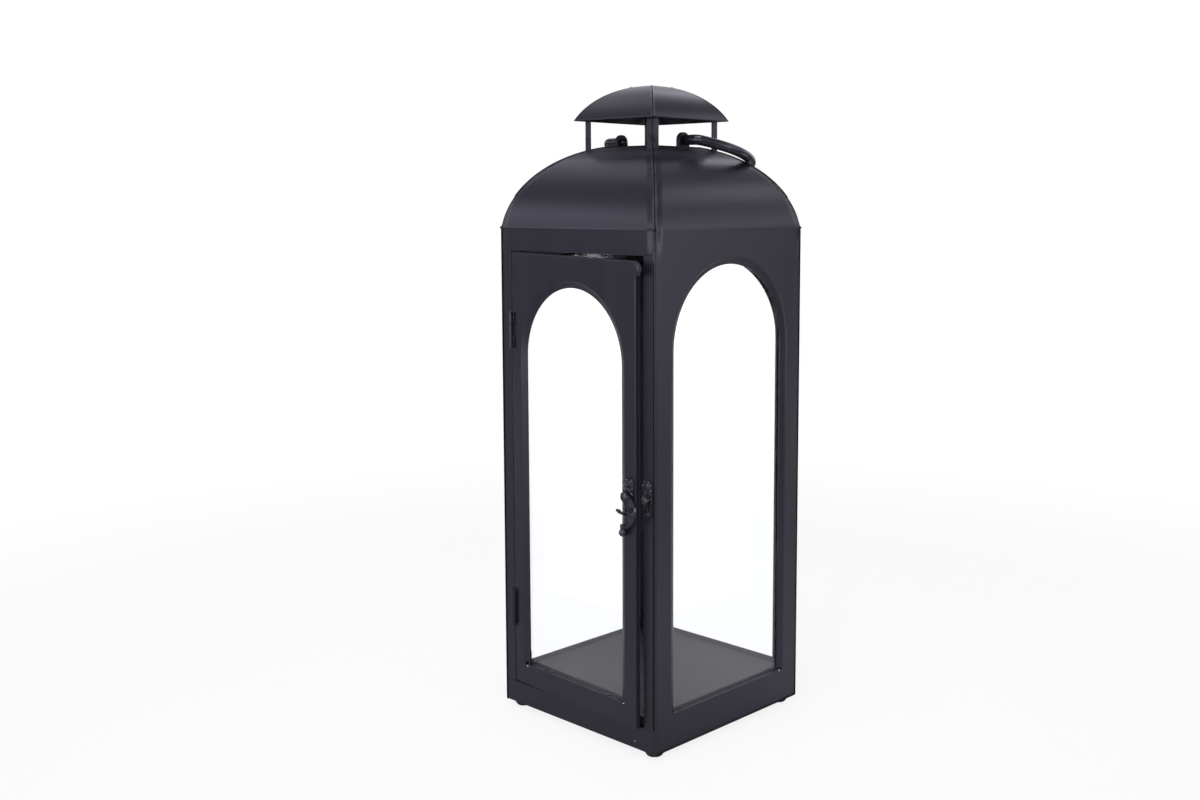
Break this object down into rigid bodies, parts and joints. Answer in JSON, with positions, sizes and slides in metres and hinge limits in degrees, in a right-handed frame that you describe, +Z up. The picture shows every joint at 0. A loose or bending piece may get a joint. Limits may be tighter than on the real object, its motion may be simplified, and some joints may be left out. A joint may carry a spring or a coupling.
{
  "type": "candle lantern",
  "caption": "Tall black sheet-metal candle lantern: domed roof, open cupola with square cap, arched glazed sides, hinged glazed door with a swing-over hook latch, ring handle.",
  "frame": {"origin": "centre of the body's square plan, on the floor under the feet", "axes": "+Z up, the door faces -Y, +X to the right as seen from the front"},
  "size_m": [0.2, 0.2332, 0.5954],
  "materials": {
    "steel_sheet": "satin black powder coat",
    "fittings": "satin black paint on cast and bent fittings",
    "glass": "clear",
    "feet": "matt"
  },
  "bodies": {
    "lantern": {"right_wall": "steel_sheet", "left_wall": "steel_sheet", "back_wall": "steel_sheet", "door_hood": "steel_sheet", "hinge_stile": "steel_sheet", "latch_stile": "steel_sheet", "door_sill": "steel_sheet", "candle_floor": "steel_sheet", "corner_plates": "steel_sheet", "cupola_post_front_right": "steel_sheet", "cupola_post_back_right": "steel_sheet", "cupola_post_back_left": "steel_sheet", "cupola_post_front_left": "steel_sheet", "cap_front": "steel_sheet", "cap_right": "steel_sheet", "cap_back": "steel_sheet", "cap_left": "steel_sheet", "wall_glass_clips": "fittings", "right_ear": "fittings", "left_ear": "fittings", "foot_rivets": "fittings", "lower_frame_leaf": "fittings", "upper_frame_leaf": "fittings", "lower_hinge_pin": "fittings", "upper_hinge_pin": "fittings", "keeper_plate": "fittings", "keeper_post": "fittings", "keeper_rivets": "fittings", "right_glass": "glass", "left_glass": "glass", "back_glass": "glass", "foot_front_right": "feet", "foot_back_right": "feet", "foot_back_left": "feet", "foot_front_left": "feet"},
    "door": {"door_panel": "steel_sheet", "door_glass": "glass", "door_glass_clips": "fittings", "lower_door_leaf": "fittings", "upper_door_leaf": "fittings", "door_stop_tab": "steel_sheet", "latch_plate": "fittings", "latch_rivets": "fittings", "hook_pivot": "fittings"},
    "hook": {"latch_hook": "fittings"},
    "handle": {"handle_ring": "fittings", "handle_end_caps": "fittings"}
  },
  "joints": [
    {"name": "door_hinge", "type": "hinge", "parent": "lantern", "child": "door", "pos_m": [-0.0862, -0.1012, 0.23425], "axis": [0, 0, -1], "range_deg": [-2.55, 180]},
    {"name": "hook_swing", "type": "hinge", "parent": "door", "child": "hook", "pos_m": [0.07489, -0.10731, 0.2345], "axis": [0.0454, 0.999, 0], "range_deg": [-32.5, 280.5]},
    {"name": "handle_swing", "type": "hinge", "parent": "lantern", "child": "handle", "pos_m": [0, 0, 0.544], "axis": [1, 0, 0], "range_deg": [0, 205.6]}
  ]
}
